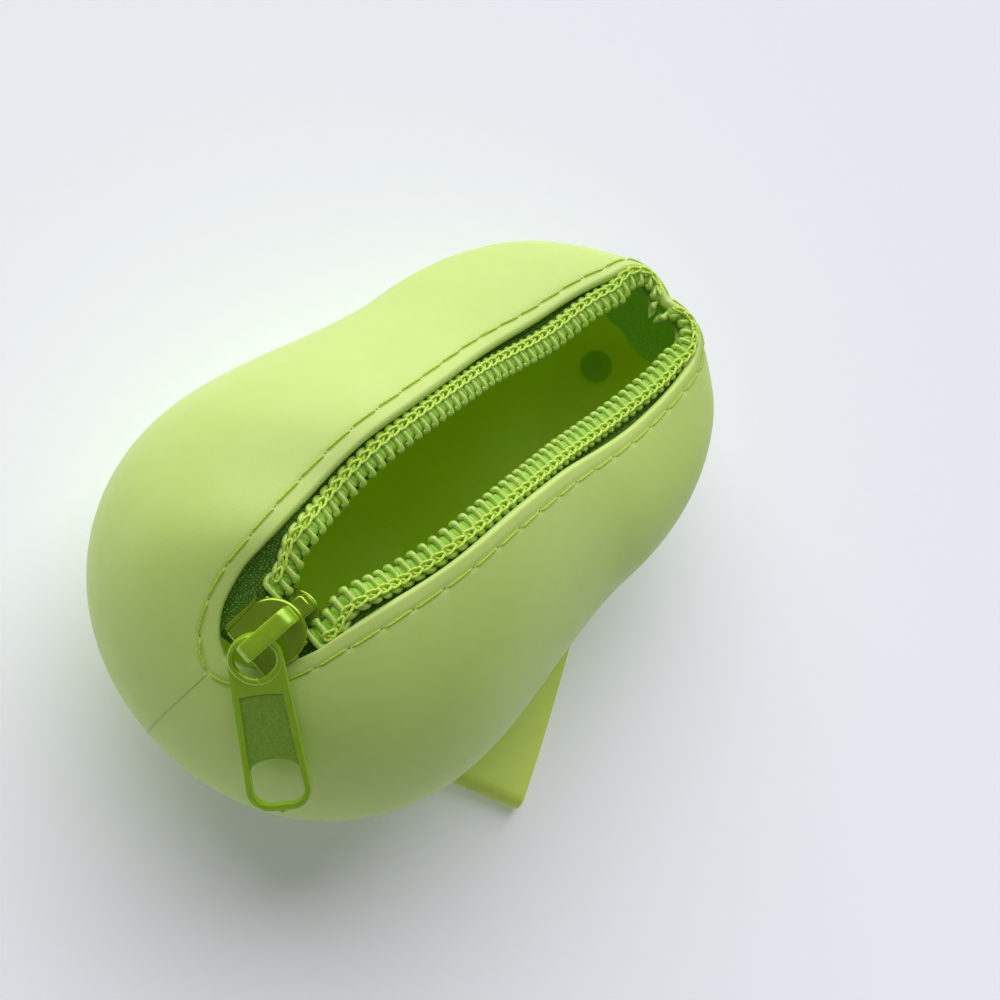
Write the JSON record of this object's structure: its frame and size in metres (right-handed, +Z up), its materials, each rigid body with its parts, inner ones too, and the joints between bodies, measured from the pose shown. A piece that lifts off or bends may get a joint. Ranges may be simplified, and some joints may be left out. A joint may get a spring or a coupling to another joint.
{
  "type": "silicone makeup bag",
  "caption": "Pebble-shaped soft silicone makeup bag with an open coil zip along its arched top, a slider with a hanging puller, and a flat wrist strap folded beneath.",
  "frame": {"origin": "on the resting surface, under the middle line of the bag", "axes": "+X along the bag from the end where the zip starts to the end with the strap stud, +Z up, +Y to the left when looking along +X"},
  "size_m": [0.1075, 0.0774, 0.053],
  "materials": {
    "silicone": "soft matt silicone, pale green",
    "tape": "woven tape, mid green",
    "coil": "translucent nylon filament, light green",
    "thread": "sewing thread, yellow green",
    "paint": "glossy paint, olive green",
    "strap": "soft satin silicone, olive green"
  },
  "bodies": {
    "bag": {"body_shell": "silicone", "zip_tape_left": "tape", "zip_tape_right": "tape", "zip_coil_left": "coil", "zip_coil_right": "coil", "coil_stitching_left": "thread", "coil_stitching_right": "thread", "seam_thread_left": "thread", "seam_thread_right": "thread", "wrist_strap": "strap", "strap_stud": "strap"},
    "slider": {"slider_body": "paint", "slider_bail": "paint"},
    "puller": {"puller": "paint"}
  },
  "joints": [
    {"name": "slider_travel", "type": "hinge", "parent": "bag", "child": "slider", "pos_m": [-0.01565, 0, -0.04973], "axis": [0, 1, 0], "range_deg": [0, 46.7], "deforming": ["body_shell", "zip_tape_left", "zip_tape_right", "zip_coil_left", "zip_coil_right", "coil_stitching_left", "coil_stitching_right", "seam_thread_left", "seam_thread_right"]},
    {"name": "puller_swing", "type": "hinge", "parent": "slider", "child": "puller", "pos_m": [-0.0423, -0.00047, 0.04886], "axis": [-0.2991, 0.9397, -0.1658], "range_deg": [0, 150]}
  ]
}
